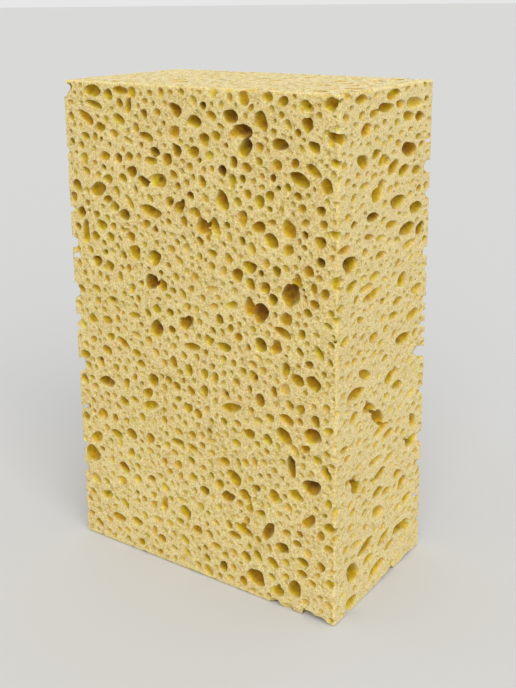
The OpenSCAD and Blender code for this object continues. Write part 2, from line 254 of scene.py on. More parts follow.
def gap_between(a: tuple, b: tuple) -> float:
    """Measures the clear distance between two pores on one face.

    Args:
        a: The first pore's ends and radius.
        b: The second pore's ends and radius.

    Returns:
        The distance in millimetres, below zero where they overlap.
    """
    best = 1e9
    for p, q in ((a, b), (b, a)):
        for x, y in ((p[0], p[1]), (p[2], p[3]), ((p[0] + p[2]) / 2, (p[1] + p[3]) / 2)):
            dx, dy = q[2] - q[0], q[3] - q[1]
            span = dx * dx + dy * dy
            t = 0.0 if span == 0 else ((x - q[0]) * dx + (y - q[1]) * dy) / span
            t = min(1.0, max(0.0, t))
            best = min(best, math.hypot(x - q[0] - t * dx, y - q[1] - t * dy))
    return best - a[4] - b[4]


@dataclass
class PoreField:
    """All the pores of the block, face by face.

    A face's noted pores come first, or where it has none the part's own scattered ones, and
    then finer ones are thrown between them until each size class has its share of the face.
    """

    spacing_mm: float = 16.5
    mouth_min_mm: float = 4.4
    mouth_max_mm: float = 8.0
    base_patch_mm: float = 8.0
    noted_swell: float = 1.15
    # How deep the pores of the top and the base are, as a share of a full bubble
    flat_depth: float = 0.75
    # Share of its pores under 3 mm that a narrow side gets, and of all its pores that the base gets
    narrow_share: float = 0.5
    base_share: float = 0.5
    # How far the finer pores stay off the edges, and how many may cross one all the same
    edge_clear_mm: float = 0.5
    edge_crossers: float = 0.15
    # Lowest and highest size of a class, and how many such pores are on 10,000 square mm
    classes: tuple[tuple[float, float, float], ...] = (
        (6.2, 8.0, 12), (5.0, 6.2, 24), (4.0, 5.0, 58), (3.5, 4.0, 52), (3.0, 3.5, 70),
        (2.5, 3.0, 96), (2.0, 2.5, 104), (1.4, 2.0, 60),
    )
    seed: int = 41

    def scattered(self, face: Face) -> list[Pore]:
        """Makes the large pores of a face by the rule in the part's source.

        Args:
            face: The face.

        Returns:
            One pore for each cell of an even grid, moved about inside its cell.
        """
        columns = max(1, math.floor(face.across / self.spacing_mm))
        rows = max(1, math.floor(face.up / self.spacing_mm))
        pores = []
        for i in range(columns):
            for j in range(rows):
                n = face.first_pore + i * rows + j
                across = (i + 0.5 + 0.75 * (chance(n, 1) - 0.5)) / columns - 0.5
                up = (j + 0.5 + 0.75 * (chance(n, 2) - 0.5)) / rows - 0.5
                spread = self.mouth_max_mm - self.mouth_min_mm
                mouth = self.mouth_min_mm + spread * chance(n, 3) ** 2.2
                longer = math.sqrt(face.stretch * (1 + 0.5 * chance(n, 4)))
                level = face.stretch > 1
                lean = 30 * (chance(n, 5) - 0.5) if level else 180 * chance(n, 5)
                pores.append(
                    Pore(across * face.across, up * face.up, mouth * longer, mouth / longer, lean)
                )
        if face.side is Side.BASE:
            pores = [p for p in pores if self.clear_of_patch(p)]
        return pores

    def clear_of_patch(self, pore: Pore) -> bool:
        """Says whether a pore of the base stays off its unbroken middle."""
        return math.hypot(pore.across, pore.up) > self.base_patch_mm + pore.long / 2

    def clear_of_edges(self, face: Face, pore: Pore, dice: random.Random) -> bool:
        """Says whether a fine pore leaves the edges of its face whole.

        Args:
            face: The pore's face.
            pore: The pore.
            dice: The source of chance, which lets a few pores cross an edge.

        Returns:
            False for a pore on one of the two bitten corner edges, and for most on another edge.
        """
        ends = pore.ends()
        reach = ends[4] + self.edge_clear_mm
        left = min(ends[0], ends[2]) + face.across / 2 - reach
        right = face.across / 2 - max(ends[0], ends[2]) - reach
        level = face.up / 2 - max(abs(ends[1]), abs(ends[3])) - reach
        if face.side in (Side.FRONT, Side.BACK) and left < 0:
            return False
        if face.side in (Side.LEFT, Side.RIGHT) and right < 0:
            return False
        return min(left, right, level) > 0 or dice.random() < self.edge_crossers

    def noted(self, face: Face) -> list[Pore]:
        """Gives the pores that are noted one by one for a face.

        Args:
            face: The face.

        Returns:
            The face's noted pores, or none for a face without a list.
        """
        rows = {Side.FRONT: FRONT_PORES, Side.RIGHT: RIGHT_PORES}.get(face.side, ())
        swell = self.noted_swell * (1.1 if face.stretch > 1 else 1.0)
        return [
            Pore(
                r[0] - face.across / 2, face.up / 2 - r[1], r[2] * swell, r[3] * swell, r[4],
                depth_scale=r[5] if len(r) > 5 else 0.0,
            )
            for r in rows
        ]

    def fill(self, face: Face, pores: list[Pore], dice: random.Random) -> None:
        """Throws finer pores between those that a face already has.

        Args:
            face: The face.
            pores: The face's pores so far, to which the new ones are added.
            dice: The source of chance.
        """
        cell = 8.0
        shelf: dict[tuple[int, int], list[tuple]] = {}

        def put(ends: tuple) -> None:
            """Files a pore's ends under the cell of its middle."""
            key = (int((ends[0] + ends[2]) / 2 // cell), int((ends[1] + ends[3]) / 2 // cell))
            shelf.setdefault(key, []).append(ends)

        for pore in pores:
            put(pore.ends())
        area = face.across * face.up / 10000
        for low, high, density in self.classes:
            share = self.base_share if face.side is Side.BASE else 1.0
            if face.stretch > 1 and high <= 3.0:
                share = self.narrow_share + 0.25 * (face.side is Side.RIGHT)
            have = sum(1 for p in pores if low <= p.size < high)
            listed = low >= {Side.FRONT: 5.0, Side.RIGHT: 4.0}.get(face.side, math.inf)
            wanted = 0 if listed else round(density * area * share) - have
            tries = 0
            while wanted > 0 and tries < 60 * density:
                tries += 1
                size = low + (high - low) * dice.random() ** 1.3
                aspect = 1 + 0.5 * dice.random() ** 1.5
                lean = 180 * dice.random()
                if face.stretch > 1:
                    aspect = 1.25 + 0.9 * dice.random()
                    lean = 44 * (dice.random() - 0.5)
                new = Pore(
                    (dice.random() - 0.5) * face.across, (dice.random() - 0.5) * face.up,
                    size * math.sqrt(aspect), size / math.sqrt(aspect), lean,
                )
                if face.side is Side.BASE and not self.clear_of_patch(new):
                    continue
                if not self.clear_of_edges(face, new, dice):
                    continue
                ends = new.ends()
                gap = 0.35 + 0.5 * dice.random()
                i, j = int(new.across // cell), int(new.up // cell)
                near = (
                    other
                    for a in (i - 1, i, i + 1)
                    for b in (j - 1, j, j + 1)
                    for other in shelf.get((a, b), ())
                )
                if all(gap_between(ends, other) > gap for other in near):
                    pores.append(new)
                    put(ends)
                    wanted -= 1

    def lobes(self, pores: list[Pore], dice: random.Random) -> list[Pore]:
        """Makes the side lobes and the deeper pockets of the larger pores.

        Args:
            pores: The pores that may get one.
            dice: The source of chance.

        Returns:
            The extra bowls, which overlap the pores that they belong to.
        """
        extra = []
        for pore in pores:
            if pore.size < 4.2:
                continue
            turn = math.radians(pore.lean)
            if dice.random() < 0.3:
                along = (dice.random() - 0.5) * 1.1 * pore.long
                aside = (dice.random() - 0.5) * 1.1 * pore.short
                size = pore.short * (0.5 + 0.3 * dice.random())
                extra.append(
                    Pore(
                        pore.across + along * math.cos(turn) - aside * math.sin(turn),
                        pore.up + along * math.sin(turn) + aside * math.cos(turn),
                        size * 1.15, size, 180 * dice.random(), depth_scale=1.0,
                    )
                )
            if dice.random() < 0.3:
                along = (dice.random() - 0.5) * 0.4 * pore.long
                size = 1.1 + 0.25 * pore.short * dice.random()
                extra.append(
                    Pore(
                        pore.across + along * math.cos(turn), pore.up + along * math.sin(turn),
                        size * 1.2, size, 180 * dice.random(),
                        sink=0.6, depth_scale=1.4, floor=0.42 * pore.short,
                    )
                )
        return extra

    def on_face(self, face: Face) -> list[Pore]:
        """Makes all the pores of one face.

        Args:
            face: The face.

        Returns:
            The pores, each with its depth and sink settled.
        """
        dice = random.Random(self.seed + face.first_pore)
        pores = self.noted(face) or self.scattered(face)
        self.fill(face, pores, dice)
        flat = face.side in (Side.TOP, Side.BASE)
        for pore in pores:
            pore.plain = face.side not in (Side.FRONT, Side.RIGHT)
            large = min(1.0, pore.size / 5)
            pore.sink = -0.4 + 0.7 * dice.random() + 0.35 * large
            usual = 0.9 + 0.35 * dice.random() + (dice.random() < 0.14) * 0.7
            if pore.size < 2.4 and dice.random() < 0.3:
                usual *= 1.8
            pore.depth_scale = pore.depth_scale or (self.flat_depth if flat else usual)
        return pores if flat else pores + self.lobes(pores, dice)


@dataclass
class BowlShaper:
    """Makes the closed shape that cuts one pore: an uneven bubble that stands out of the face."""

    proud_mm: float = 0.35
    flare: float = 0.05
    dice: random.Random = field(default_factory=lambda: random.Random(7))

    def rings_for(self, pore: Pore) -> tuple[int, tuple[float, ...]]:
        """Chooses how finely a pore is shaped.

        Args:
            pore: The pore.

        Returns:
            The number of corners round it, and its rings as shares of its depth.
        """
        if pore.size >= 5.2:
            return (13, (0.33, 0.8)) if pore.plain else (16, (0.22, 0.58, 0.87))
        if pore.size >= 4.2:
            return (11, (0.33, 0.8)) if pore.plain else (13, (0.33, 0.8))
        if pore.size >= 3.2:
            return (9, (0.55,)) if pore.plain else (10, (0.36, 0.8))
        if pore.size >= 2.5:
            return 8, (0.6,)
        if pore.size >= 1.9:
            return 7, (0.6,)
        return 6, (0.6,)

    def shape(self, pore: Pore) -> tuple[np.ndarray, list[tuple[int, ...]]]:
        """Makes a pore's cutting shape in the millimetres of its face.

        Args:
            pore: The pore.

        Returns:
            The points, and the faces as tuples of point numbers that face outwards.
        """
        dice = self.dice
        corners, shares = self.rings_for(pore)
        angles = np.arange(corners) * math.tau / corners + dice.random() * math.tau
        uneven = min(1.0, max(0.6, 0.6 + 0.12 * (pore.size - 2)))
        waves = sum(
            amount * uneven * dice.random() * np.cos(k * angles + math.tau * dice.random())
            for k, amount in ((2, 0.08), (3, 0.11), (4, 0.08), (5, 0.06))
            if k * 2 < corners
        )
        waves = waves + 0.04 * np.array([dice.random() - 0.5 for _ in range(corners)])
        radius = pore.short / 2
        sphere = math.hypot(1, pore.sink)
        depth = pore.depth_scale * radius * (pore.sink + sphere)
        lean = math.radians(pore.lean)
        # Most pores run a little upwards, so their lower lips are soft and their upper ones dark
        drift = math.pi / 2 + 2.4 * (dice.random() - 0.5)
        drift_size = (0.12 + 0.36 * dice.random()) * depth
        unit = np.stack([np.cos(angles), np.sin(angles)], axis=1)

        def ring(share: float, low: float, swell: float) -> np.ndarray:
            """Gives one ring at a share of the depth, low mm under the face's plane."""
            inner = sphere**2 - (share * (pore.sink + sphere) - pore.sink) ** 2
            size = math.sqrt(max(0.02, inner)) * swell
            rough = 1 + waves * (1.15 - 0.5 * max(share, 0))
            flat = unit * (rough * size * radius)[:, None]
            flat[:, 0] += unit[:, 0] * (pore.long - pore.short) / 2 * min(1, size)
            turned = np.stack(
                [
                    flat[:, 0] * math.cos(lean) - flat[:, 1] * math.sin(lean),
                    flat[:, 0] * math.sin(lean) + flat[:, 1] * math.cos(lean),
                ],
                axis=1,
            )
            shift = np.array([math.cos(drift), math.sin(drift)]) * drift_size * max(share, 0)
            height = np.full((corners, 1), -low)
            return np.hstack([turned + shift + [pore.across, pore.up], height])

        levels = [ring(0.0, pore.floor - self.proud_mm, 1 + self.flare)]
        levels += [ring(s, pore.floor + s * depth, 1.0) for s in shares]
        cap = levels[0].mean(axis=0) + [0, 0, 0.15]
        foot = levels[-1].mean(axis=0)
        foot[2] = -pore.floor - depth
        points = np.vstack([cap, *levels, foot])
        last = len(points) - 1
        faces = []
        for i in range(corners):
            j = (i + 1) % corners
            faces.append((0, 1 + i, 1 + j))
            for r in range(len(levels) - 1):
                a, b = 1 + r * corners, 1 + (r + 1) * corners
                faces.append((a + i, b + i, b + j, a + j))
            a = 1 + (len(levels) - 1) * corners
            faces.append((a + i, last, a + j))
        return points, faces


@dataclass
class EdgeBites:
    """The slanted tubes that bite through a corner edge, as the pores there do.

    They all run away from one place, so that from there each shows as a clear round notch.
    """

    seen_from: tuple[float, float, float] = (225.7, -314.9, 225.5)
    # How far inside the edge a notch is widest, as a share of its depth
    throat: float = 0.35
    corners: int = 14
    dice: random.Random = field(default_factory=lambda: random.Random(23))

    def run(self, corner: tuple[float, float], z: float) -> np.ndarray:
        """Gives the way that a tube runs at one place on a corner edge.

        Args:
            corner: The corner edge's place in plan.
            z: The height of the tube's middle.

        Returns:
            The direction away from where the notches are seen, one long in plan.
        """
        away = np.array([corner[0], corner[1], z]) - np.array(self.seen_from)
        return away / math.hypot(away[0], away[1])

    def tube(
        self, corner: tuple[float, float], inset: float, half_width: float, half_height: float,
        z: float, lean: float, reach: tuple[float, float],
    ) -> tuple[np.ndarray, list[tuple[int, ...]]]:
        """Makes one tube in the millimetres of the block.

        Args:
            corner: The corner edge's place in plan.
            inset: How far the tube's middle lies inside the corner, square to its run.
            half_width: Half its width, square to its run.
            half_height: Half its height.
            z: The height of its middle.
            lean: Its turn about its own run, in degrees.
            reach: How far it goes to each side of the corner.

        Returns:
            The points, and the faces as tuples of point numbers that face outwards.
        """
        run = self.run(corner, z)
        side = np.array([run[1], -run[0], 0.0])
        if corner[0] > 0:
            side = -side
        rings = 7
        angles = np.arange(self.corners) * math.tau / self.corners
        lobes = sum(
            0.09 * np.cos(k * angles + math.tau * self.dice.random()) for k in (2, 3, 4)
        )
        turn = math.radians(lean)
        points = []
        for n in range(rings):
            t = n / (rings - 1)
            along = reach[0] + (reach[1] - reach[0]) * t
            uneven = lobes + 0.07 * np.array(
                [self.dice.random() - 0.5 for _ in range(self.corners)]
            )
            swell = (1 + uneven) * (0.94 + 0.12 * self.dice.random())
            wide = half_width * swell * np.cos(angles)
            high = half_height * swell * np.sin(angles)
            out = wide * math.cos(turn) - high * math.sin(turn)
            rise = wide * math.sin(turn) + high * math.cos(turn)
            wobble = 0.2 * half_height * (self.dice.random() - 0.5)
            ring = (
                np.array([corner[0], corner[1], z + wobble])
                + run * along
                + side * inset
                + out[:, None] * side
            )
            ring[:, 2] += rise
            points.append(ring)
        ends = [points[0].mean(axis=0), points[-1].mean(axis=0)]
        stacked = np.vstack([ends[0], *points, ends[1]])
        last = len(stacked) - 1
        faces = []
        for i in range(self.corners):
            j = (i + 1) % self.corners
            faces.append((0, 1 + i, 1 + j))
            for r in range(rings - 1):
                a, b = 1 + r * self.corners, 1 + (r + 1) * self.corners
                faces.append((a + i, b + i, b + j, a + j))
            a = 1 + (rings - 1) * self.corners
            faces.append((a + i, last, a + j))
        if corner[0] > 0:
            faces = [face[::-1] for face in faces]
        return stacked, faces

    def all_tubes(
        self, width: float, depth: float, height: float
    ) -> list[tuple[np.ndarray, list[tuple[int, ...]]]]:
        """Makes the tubes of both corner edges.

        Args:
            width: The block's width in millimetres.
            depth: Its depth.
            height: Its height.

        Returns:
            Every tube's points and faces.
        """
        tubes = []
        near, far = (-width / 2, -depth / 2), (width / 2, depth / 2)
        for corner, scale, bites, holes in (
            (near, abs(self.run(near, 0.0)[1]), NEAR_EDGE_BITES, NEAR_EDGE_HOLES),
            (far, abs(self.run(far, 0.0)[0]), FAR_EDGE_BITES, FAR_EDGE_HOLES),
        ):
            for down, deep, high in bites:
                cut = scale * deep
                reach = (-2.2 * cut - 2, 2.2 * cut + 2)
                tubes.append(
                    self.tube(
                        corner, self.throat * cut, (1 - self.throat) * cut, high / 2,
                        height - down, 0.0, reach,
                    )
                )
            for down, behind, wide, high, lean in holes:
                middle = scale * behind
                reach = (-2.2 * middle - 2, 2.2 * middle + 2)
                tubes.append(
                    self.tube(
                        corner, middle, scale * wide / 2, high / 2, height - down, lean, reach
                    )
                )
        return tubes


@dataclass(frozen=True)
class FoamFinish:
    """Dry cellulose foam: pale straw where it is sawn, and golden skin in the pores, with painted
    shade that darkens them with depth.
    """

    name: str = "cellulose_foam"
    straw: tuple[float, float, float] = (0.785, 0.624, 0.272)
    # Down the pores the colour is partly the golden skin and partly painted shade, which grows
    # darker with depth
    pale: tuple[float, float, float] = (0.72, 0.54, 0.135)
    golden: tuple[float, float, float] = (0.56, 0.372, 0.006)
    ochre_and_shade: tuple[float, float, float] = (0.44, 0.25, 0.003)
    deep: tuple[float, float, float] = (0.18, 0.075, 0.003)
    # Painted shade of the pinholes, which the mesh doesn't have
    pinhole_shade: tuple[float, float, float] = (0.54, 0.415, 0.09)
    # Colour of the faint hollows: partly the skin of shallow pores, partly painted shade of hollows
    # the mesh doesn't have
    hollow_tone_and_shade: tuple[float, float, float] = (0.62, 0.465, 0.085)
    roughness: float = 0.92
    subsurface: float = 0.4
    sheen: float = 0.2

    def depth_group(self, half: tuple[float, float], height: float) -> bpy.types.NodeTree:
        """Builds the node group that gives how far a point lies under the nearest face.

        Args:
            half: Half the block's width and half its depth, in metres.
            height: The block's height in metres.

        Returns:
            The group, with one output in millimetres.
        """
        group = bpy.data.node_groups.new("depth_under_faces", "ShaderNodeTree")
        group.interface.new_socket("Depth mm", in_out="OUTPUT", socket_type="NodeSocketFloat")
        nodes, links = group.nodes, group.links
        place = nodes.new("ShaderNodeTexCoord")
        split = nodes.new("ShaderNodeSeparateXYZ")
        links.new(place.outputs["Object"], split.inputs[0])

        def math_node(kind: str, *values: object) -> bpy.types.NodeSocket:
            """Adds a Math node of one kind and feeds it numbers or sockets."""
            node = nodes.new("ShaderNodeMath")
            node.operation = kind
            for i, value in enumerate(values):
                if isinstance(value, (int, float)):
                    node.inputs[i].default_value = value
                else:
                    links.new(value, node.inputs[i])
            return node.outputs[0]

        under_side = math_node("SUBTRACT", half[0], math_node("ABSOLUTE", split.outputs[0]))
        under_front = math_node("SUBTRACT", half[1], math_node("ABSOLUTE", split.outputs[1]))
        under_top = math_node("SUBTRACT", height, split.outputs[2])
        nearest = math_node("MINIMUM", under_side, under_front)
        nearest = math_node("MINIMUM", nearest, under_top)
        nearest = math_node("MINIMUM", nearest, split.outputs[2])
        result = nodes.new("NodeGroupOutput")
        links.new(math_node("MULTIPLY", nearest, 1000.0), result.inputs[0])
        return group

    def build(self, half: tuple[float, float], height: float) -> bpy.types.Material:
        """Builds the foam's material.

        Args:
            half: Half the block's width and half its depth, in metres.
            height: The block's height in metres.

        Returns:
            The material.
        """
        material = bpy.data.materials.new(self.name)
        material.use_nodes = True
        nodes, links = material.node_tree.nodes, material.node_tree.links
        shader = nodes["Principled BSDF"]
        shader.inputs["Roughness"].default_value = self.roughness
        shader.inputs["Specular IOR Level"].default_value = 0.12
        shader.inputs["Subsurface Weight"].default_value = self.subsurface
        shader.inputs["Subsurface Radius"].default_value = (1.0, 0.6, 0.15)
        shader.inputs["Subsurface Scale"].default_value = 0.002
        shader.inputs["Sheen Weight"].default_value = self.sheen
        shader.inputs["Sheen Roughness"].default_value = 0.6
        place = nodes.new("ShaderNodeTexCoord")

        depth = nodes.new("ShaderNodeGroup")
        depth.node_tree = self.depth_group(half, height)
        ramp = nodes.new("ShaderNodeValToRGB")
        scale = nodes.new("ShaderNodeMapRange")
        scale.inputs["From Min"].default_value = 0.0
        scale.inputs["From Max"].default_value = 6.0
        links.new(depth.outputs[0], scale.inputs["Value"])
        links.new(scale.outputs[0], ramp.inputs["Fac"])
        # Painted shade: past the straw of the sawn faces, the colour turns golden and then darker
        # with depth under the nearest face. This is partly the pores' skin and partly shade painted
        # down in them
        stops = (
            (0.0, self.straw), (0.045, self.straw), (0.12, self.pale), (0.29, self.golden),
            (0.52, self.ochre_and_shade), (1.0, self.deep),
        )
        bar = ramp.color_ramp
        while len(bar.elements) < len(stops):
            bar.elements.new(0.5)
        for element, (at, colour) in zip(bar.elements, stops):
            element.position = at
            element.color = (*colour, 1.0)

        def noise(size: float, detail: float) -> bpy.types.Node:
            """Adds a noise of one scale on the block's own coordinates."""
            node = nodes.new("ShaderNodeTexNoise")
            node.inputs["Scale"].default_value = size
            node.inputs["Detail"].default_value = detail
            links.new(place.outputs["Object"], node.inputs["Vector"])
            return node

        def spots(size: float, low: float, high: float) -> bpy.types.NodeSocket:
            """Adds pinholes: 1 outside them, 0 in their middle."""
            cells = nodes.new("ShaderNodeTexVoronoi")
            cells.inputs["Scale"].default_value = size
            links.new(place.outputs["Object"], cells.inputs["Vector"])
            edge = nodes.new("ShaderNodeMapRange")
            edge.interpolation_type = "SMOOTHSTEP"
            edge.inputs["From Min"].default_value = low
            edge.inputs["From Max"].default_value = high
            links.new(cells.outputs["Distance"], edge.inputs["Value"])
            return edge.outputs[0]

        def blend(kind: str, amount: object, a: object, b: object) -> bpy.types.NodeSocket:
            """Mixes two colours, each a socket or a plain colour."""
            node = nodes.new("ShaderNodeMix")
            node.data_type = "RGBA"
            node.blend_type = kind
            for key, value in (("Factor", amount), ("A", a), ("B", b)):
                socket = next(
                    s for s in node.inputs
                    if s.name == key and s.enabled and (key == "Factor" or s.type == "RGBA")
                )
                if isinstance(value, (int, float)):
                    socket.default_value = value
                elif isinstance(value, tuple):
                    socket.default_value = (*value, 1.0)
                else:
                    links.new(value, socket)
            return next(s for s in node.outputs if s.type == "RGBA")

        def remap(
            socket: bpy.types.NodeSocket, low: float, high: float, to_low: float, to_high: float
        ) -> bpy.types.NodeSocket:
            """Maps a value's range to another one, and keeps to it outside."""
            node = nodes.new("ShaderNodeMapRange")
            for key, value in (
                ("From Min", low), ("From Max", high), ("To Min", to_low), ("To Max", to_high)
            ):
                node.inputs[key].default_value = value
            links.new(socket, node.inputs["Value"])
            return node.outputs[0]

        def product(a: bpy.types.NodeSocket, b: bpy.types.NodeSocket) -> bpy.types.NodeSocket:
            """Multiplies two values."""
            node = nodes.new("ShaderNodeMath")
            node.operation = "MULTIPLY"
            links.new(a, node.inputs[0])
            links.new(b, node.inputs[1])
            return node.outputs[0]

        # The sawn faces are grainy and fuzzy, and the skin inside a pore is smooth
        sawn = remap(depth.outputs[0], 0.15, 1.3, 1.0, 0.12)

        def hollows(size: float, low: float, high: float) -> bpy.types.NodeSocket:
            """Adds shallow hollows: 0 outside them, and up to 1 in them, as each cell's lot is."""
            cells = nodes.new("ShaderNodeTexVoronoi")
            cells.inputs["Scale"].default_value = size
            links.new(place.outputs["Object"], cells.inputs["Vector"])
            lot = nodes.new("ShaderNodeSeparateColor")
            links.new(cells.outputs["Color"], lot.inputs[0])
            inside = product(remap(cells.outputs["Distance"], low, high, 1.0, 0.0), sawn)
            return product(inside, remap(lot.outputs[0], 0.1, 1.0, 0.0, 1.0))

        coarse = spots(620.0, 0.2, 0.42)
        fine = spots(1050.0, 0.22, 0.44)
        # Faint hollows, some nearly as clear as a pore and some hardly seen, coloured partly with
        # the golden skin of shallow pores and partly with painted shade of hollows that the mesh
        # doesn't have
        wide, small = hollows(290.0, 0.16, 0.34), hollows(520.0, 0.2, 0.4)
        colour = ramp.outputs["Color"]
        for hollow_tone_and_shade in (wide, small):
            colour = blend("MIX", remap(hollow_tone_and_shade, 0.0, 1.0, 0.0, 0.72), colour, self.hollow_tone_and_shade)
        # The skin inside the pores is uneven too
        inner = remap(noise(430.0, 2.0).outputs["Fac"], 0.32, 0.68, 0.0, 1.0)
        colour = blend("SOFT_LIGHT", remap(sawn, 0.12, 1.0, 0.42, 0.0), colour, inner)
        # The pinholes gather in places, and their darker colour is painted shade in holes that the
        # mesh doesn't have
        crowd = remap(noise(110.0, 2.0).outputs["Fac"], 0.4, 0.62, 0.35, 1.2)
        pinholes = product(product(remap(coarse, 0.0, 1.0, 0.4, 0.0), sawn), crowd)
        colour = blend("MIX", pinholes, colour, self.pinhole_shade)
        pinholes = product(product(remap(fine, 0.0, 1.0, 0.36, 0.0), sawn), crowd)
        colour = blend("MIX", pinholes, colour, self.pinhole_shade)
        # Some pores are more orange and some more olive, and the grain has both
        tint = nodes.new("ShaderNodeHueSaturation")
        drift = nodes.new("ShaderNodeMath")
        drift.operation = "MULTIPLY_ADD"
        links.new(
            remap(noise(130.0, 1.0).outputs["Fac"], 0.35, 0.65, -1.0, 1.0), drift.inputs[0]
        )
        links.new(remap(sawn, 0.12, 1.0, 0.011, 0.0015), drift.inputs[1])
        links.new(
            remap(noise(900.0, 1.0).outputs["Fac"], 0.35, 0.65, 0.492, 0.506), drift.inputs[2]
        )
        links.new(drift.outputs[0], tint.inputs["Hue"])
        links.new(colour, tint.inputs["Color"])
        colour = tint.outputs["Color"]
        grain = remap(noise(1700.0, 3.0).outputs["Fac"], 0.34, 0.66, 0.0, 1.0)
        colour = blend("SOFT_LIGHT", remap(sawn, 0.0, 1.0, 0.05, 0.56), colour, grain)
        patches = noise(45.0, 3.0)
        colour = blend("SOFT_LIGHT", 0.2, colour, patches.outputs["Fac"])
        links.new(colour, shader.inputs["Base Color"])

        height_sum = nodes.new("ShaderNodeMath")
        height_sum.operation = "MULTIPLY_ADD"
        height_sum.inputs[1].default_value = 0.5
        links.new(fine, height_sum.inputs[0])
        links.new(coarse, height_sum.inputs[2])
        pits = nodes.new("ShaderNodeBump")
        pits.inputs["Distance"].default_value = 0.0003
        links.new(remap(sawn, 0.0, 1.0, 0.0, 0.4), pits.inputs["Strength"])
        links.new(height_sum.outputs[0], pits.inputs["Height"])
        rough = nodes.new("ShaderNodeBump")
        rough.inputs["Distance"].default_value = 0.00025
        links.new(remap(sawn, 0.0, 1.0, 0.2, 0.5), rough.inputs["Strength"])
        links.new(noise(1400.0, 4.0).outputs["Fac"], rough.inputs["Height"])
        links.new(pits.outputs[0], rough.inputs["Normal"])
        swell = nodes.new("ShaderNodeBump")
        swell.inputs["Strength"].default_value = 0.5
        swell.inputs["Distance"].default_value = 0.001
        links.new(noise(240.0, 2.0).outputs["Fac"], swell.inputs["Height"])
        links.new(rough.outputs[0], swell.inputs["Normal"])
        dents = nodes.new("ShaderNodeBump")
        dents.inputs["Strength"].default_value = 0.6
        dents.inputs["Distance"].default_value = 0.0007
        links.new(
            product(remap(wide, 0.0, 1.0, 1.0, 0.0), remap(small, 0.0, 1.0, 1.0, 0.4)),
            dents.inputs["Height"],
        )
        links.new(swell.outputs[0], dents.inputs["Normal"])
        links.new(dents.outputs[0], shader.inputs["Normal"])
        return material


